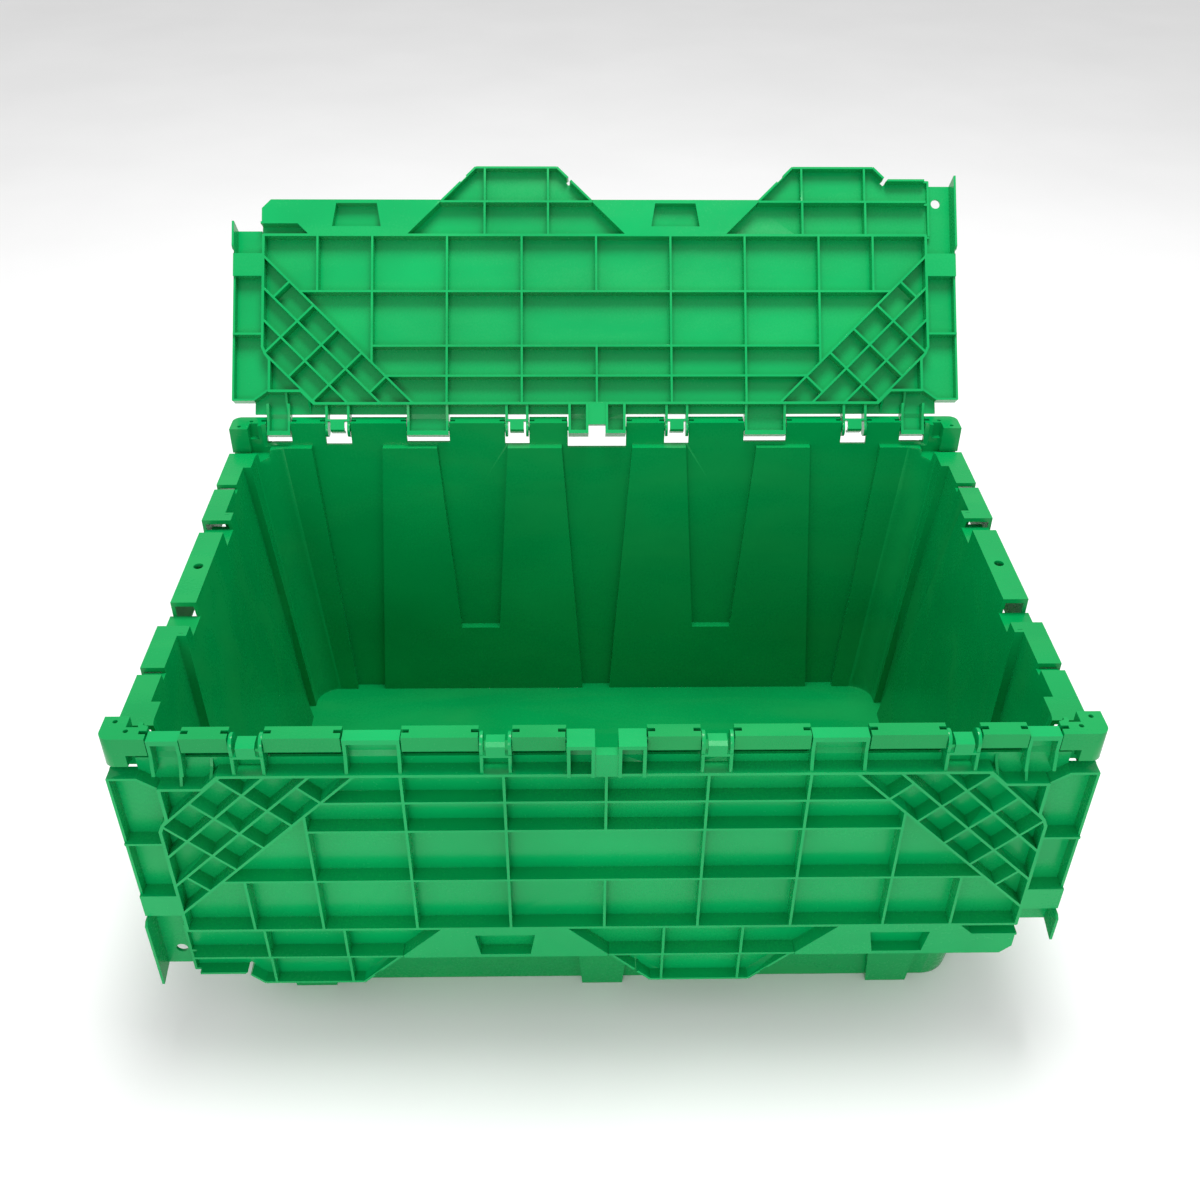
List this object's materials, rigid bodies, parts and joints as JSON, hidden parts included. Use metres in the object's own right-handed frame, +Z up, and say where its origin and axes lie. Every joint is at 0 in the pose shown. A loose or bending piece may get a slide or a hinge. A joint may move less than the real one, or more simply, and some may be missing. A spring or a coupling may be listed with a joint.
{
  "type": "attached lid tote",
  "caption": "Rectangular stacking tub with drafted, panelled walls and a pair of interlocking ribbed lids, each turning on moulded pins along a long side.",
  "frame": {"origin": "bottom centre of the tub, on the surface that it stands on", "axes": "+X along the length, +Y across to the back, +Z up"},
  "size_m": [0.686, 0.6159, 0.4946],
  "materials": {
    "tub_plastic": "semi-gloss moulded polypropylene",
    "lid_plastic": "semi-gloss moulded polypropylene"
  },
  "bodies": {
    "tub": {"tote_body": "tub_plastic"},
    "back_lid": {"back_lid": "lid_plastic"},
    "front_lid": {"front_lid": "lid_plastic"}
  },
  "joints": [
    {"name": "back_lid_hinge", "type": "hinge", "parent": "tub", "child": "back_lid", "pos_m": [0, 0.2185, 0.296], "axis": [-1, 0, 0], "range_deg": [-130, 141]},
    {"name": "front_lid_hinge", "type": "hinge", "parent": "tub", "child": "front_lid", "pos_m": [0, -0.2185, 0.296], "axis": [1, 0, 0], "range_deg": [-271, 0]}
  ]
}
